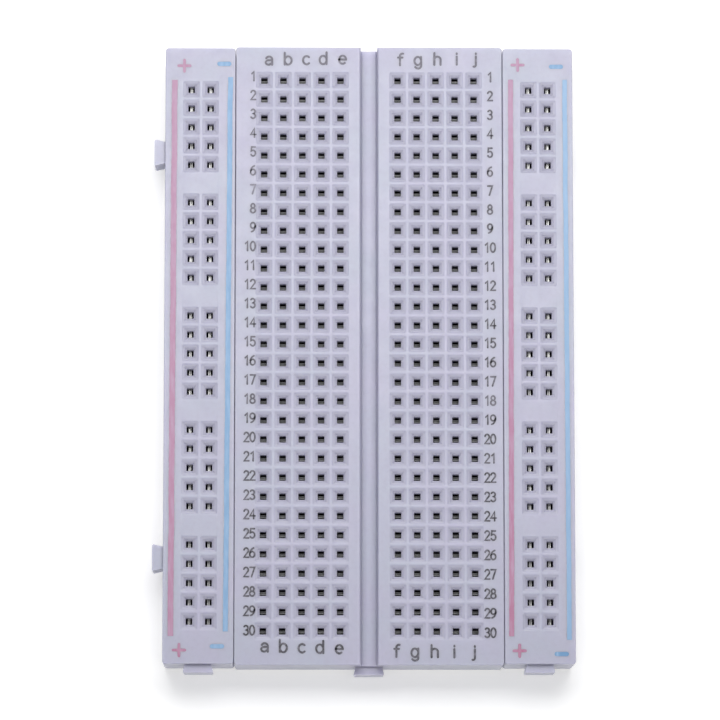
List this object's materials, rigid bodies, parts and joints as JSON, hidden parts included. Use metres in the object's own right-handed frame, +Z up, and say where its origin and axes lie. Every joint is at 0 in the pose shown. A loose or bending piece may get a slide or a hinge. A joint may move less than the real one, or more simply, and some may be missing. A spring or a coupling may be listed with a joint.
{
  "type": "solderless breadboard",
  "caption": "Flat solderless breadboard: a terminal strip with a centre trough between two bus rails, joined by dovetail keys, with spring clips inside and a taped underside.",
  "frame": {"origin": "on the underside (the release liner's lower face), below the centre of the whole hole grid", "axes": "+Z up out of the top face; +Y along the board towards row 1; +X across it, from column a towards column j"},
  "size_m": [0.0557, 0.0837, 0.0095],
  "materials": {
    "shell": "satin",
    "spring_metal": "polished",
    "foam_tape": "matte",
    "liner_paper": "satin",
    "legend_ink": "matte",
    "positive_ink": "matte",
    "negative_ink": "matte"
  },
  "bodies": {
    "right_rail": {"right_rail_housing": "shell", "right_positive_bus_clip": "spring_metal", "right_negative_bus_clip": "spring_metal", "right_rail_foam": "foam_tape", "right_rail_liner": "liner_paper"},
    "terminal_strip": {"terminal_housing": "shell", "terminal_clips_row_01": "spring_metal", "terminal_clips_row_02": "spring_metal", "terminal_clips_row_03": "spring_metal", "terminal_clips_row_04": "spring_metal", "terminal_clips_row_05": "spring_metal", "terminal_clips_row_06": "spring_metal", "terminal_clips_row_07": "spring_metal", "terminal_clips_row_08": "spring_metal", "terminal_clips_row_09": "spring_metal", "terminal_clips_row_10": "spring_metal", "terminal_clips_row_11": "spring_metal", "terminal_clips_row_12": "spring_metal", "terminal_clips_row_13": "spring_metal", "terminal_clips_row_14": "spring_metal", "terminal_clips_row_15": "spring_metal", "terminal_clips_row_16": "spring_metal", "terminal_clips_row_17": "spring_metal", "terminal_clips_row_18": "spring_metal", "terminal_clips_row_19": "spring_metal", "terminal_clips_row_20": "spring_metal", "terminal_clips_row_21": "spring_metal", "terminal_clips_row_22": "spring_metal", "terminal_clips_row_23": "spring_metal", "terminal_clips_row_24": "spring_metal", "terminal_clips_row_25": "spring_metal", "terminal_clips_row_26": "spring_metal", "terminal_clips_row_27": "spring_metal", "terminal_clips_row_28": "spring_metal", "terminal_clips_row_29": "spring_metal", "terminal_clips_row_30": "spring_metal", "terminal_foam": "foam_tape", "terminal_liner": "liner_paper"},
    "left_rail": {"left_rail_housing": "shell", "left_positive_bus_clip": "spring_metal", "left_negative_bus_clip": "spring_metal", "left_rail_foam": "foam_tape", "left_rail_liner": "liner_paper"}
  },
  "joints": [
    {"name": "terminal_strip_lift", "type": "slide", "parent": "right_rail", "child": "terminal_strip", "axis": [0, 0, 1], "range_m": [0, 0.008]},
    {"name": "left_rail_lift", "type": "slide", "parent": "terminal_strip", "child": "left_rail", "axis": [0, 0, 1], "range_m": [0, 0.008]}
  ]
}
